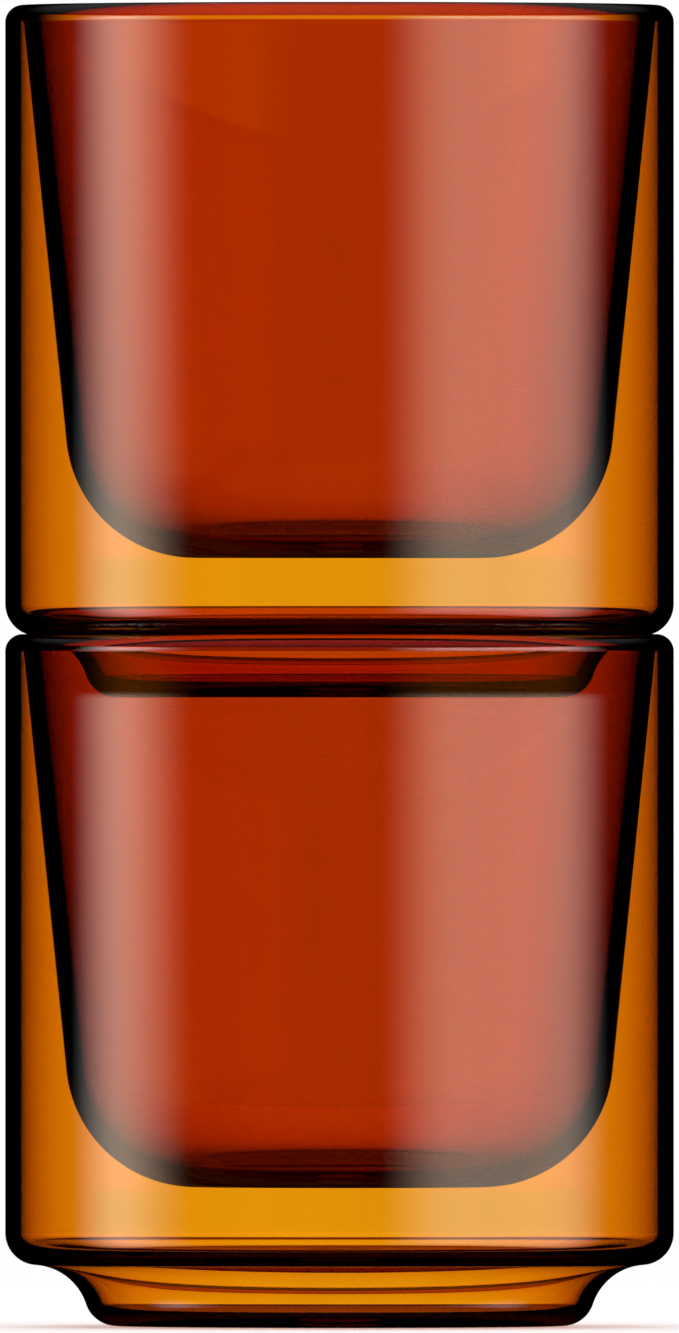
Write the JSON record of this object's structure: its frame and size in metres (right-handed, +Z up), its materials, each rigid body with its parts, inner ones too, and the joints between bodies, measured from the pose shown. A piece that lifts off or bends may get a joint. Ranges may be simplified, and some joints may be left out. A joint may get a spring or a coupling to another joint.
{
  "type": "double-walled espresso glass",
  "caption": "Stacked pair of amber double-walled espresso glasses: tapered inner cup in a straight jacket, rounded rim and a stepped foot that nests in the mouth below.",
  "frame": {"origin": "centre of the lower glass's foot, on the surface it stands on", "axes": "+Z up along the axis of both glasses; X and Y are any two level directions, because the glasses are round"},
  "size_m": [0.065, 0.065, 0.1284],
  "materials": {
    "jacket_glass": "clear amber, fire-polished",
    "cup_glass": "clear deep amber, fire-polished",
    "rim_glass": "clear amber, melted round",
    "vent_silicone": "matte, slightly milky"
  },
  "bodies": {
    "lower_glass": {"lower_inner_cup": "cup_glass", "lower_outer_jacket": "jacket_glass", "lower_rim_bead": "rim_glass", "lower_stepped_foot": "jacket_glass", "lower_vent_plug": "vent_silicone"},
    "upper_glass": {"upper_inner_cup": "cup_glass", "upper_outer_jacket": "jacket_glass", "upper_rim_bead": "rim_glass", "upper_stepped_foot": "jacket_glass", "upper_vent_plug": "vent_silicone"}
  },
  "joints": [
    {"name": "upper_glass_lift", "type": "slide", "parent": "lower_glass", "child": "upper_glass", "axis": [0, 0, 1], "range_m": [0, 0.03]}
  ]
}
